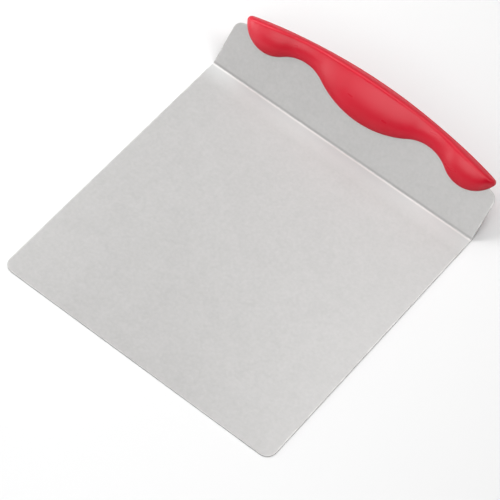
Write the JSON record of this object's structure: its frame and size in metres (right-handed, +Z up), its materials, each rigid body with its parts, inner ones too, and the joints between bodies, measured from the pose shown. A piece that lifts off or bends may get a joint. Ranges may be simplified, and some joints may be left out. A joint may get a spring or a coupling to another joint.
{
  "type": "bench scraper",
  "caption": "Wide square bench scraper of bent stainless sheet, its raised rear flange held in a wavy two-shell moulded grip, for lifting and moving dough and cakes.",
  "frame": {"origin": "middle of the flat blade's underside, on the surface it rests on", "axes": "+X across the blade, +Y from the blade's front edge to the flange and grip, +Z up; it is mirror-symmetric about X = 0"},
  "size_m": [0.255, 0.3027, 0.0519],
  "materials": {
    "sheet_steel": "cold-rolled stainless sheet with a fine matt mill finish",
    "grip_plastic": "moulded red plastic, between satin and gloss",
    "screw_steel": "plain turned steel"
  },
  "bodies": {
    "root": {"blade": "sheet_steel", "front_grip_shell": "grip_plastic", "rear_grip_shell": "grip_plastic", "grip_screw_1": "screw_steel", "grip_screw_2": "screw_steel", "grip_screw_3": "screw_steel", "grip_screw_4": "screw_steel", "grip_screw_5": "screw_steel"}
  },
  "joints": []
}
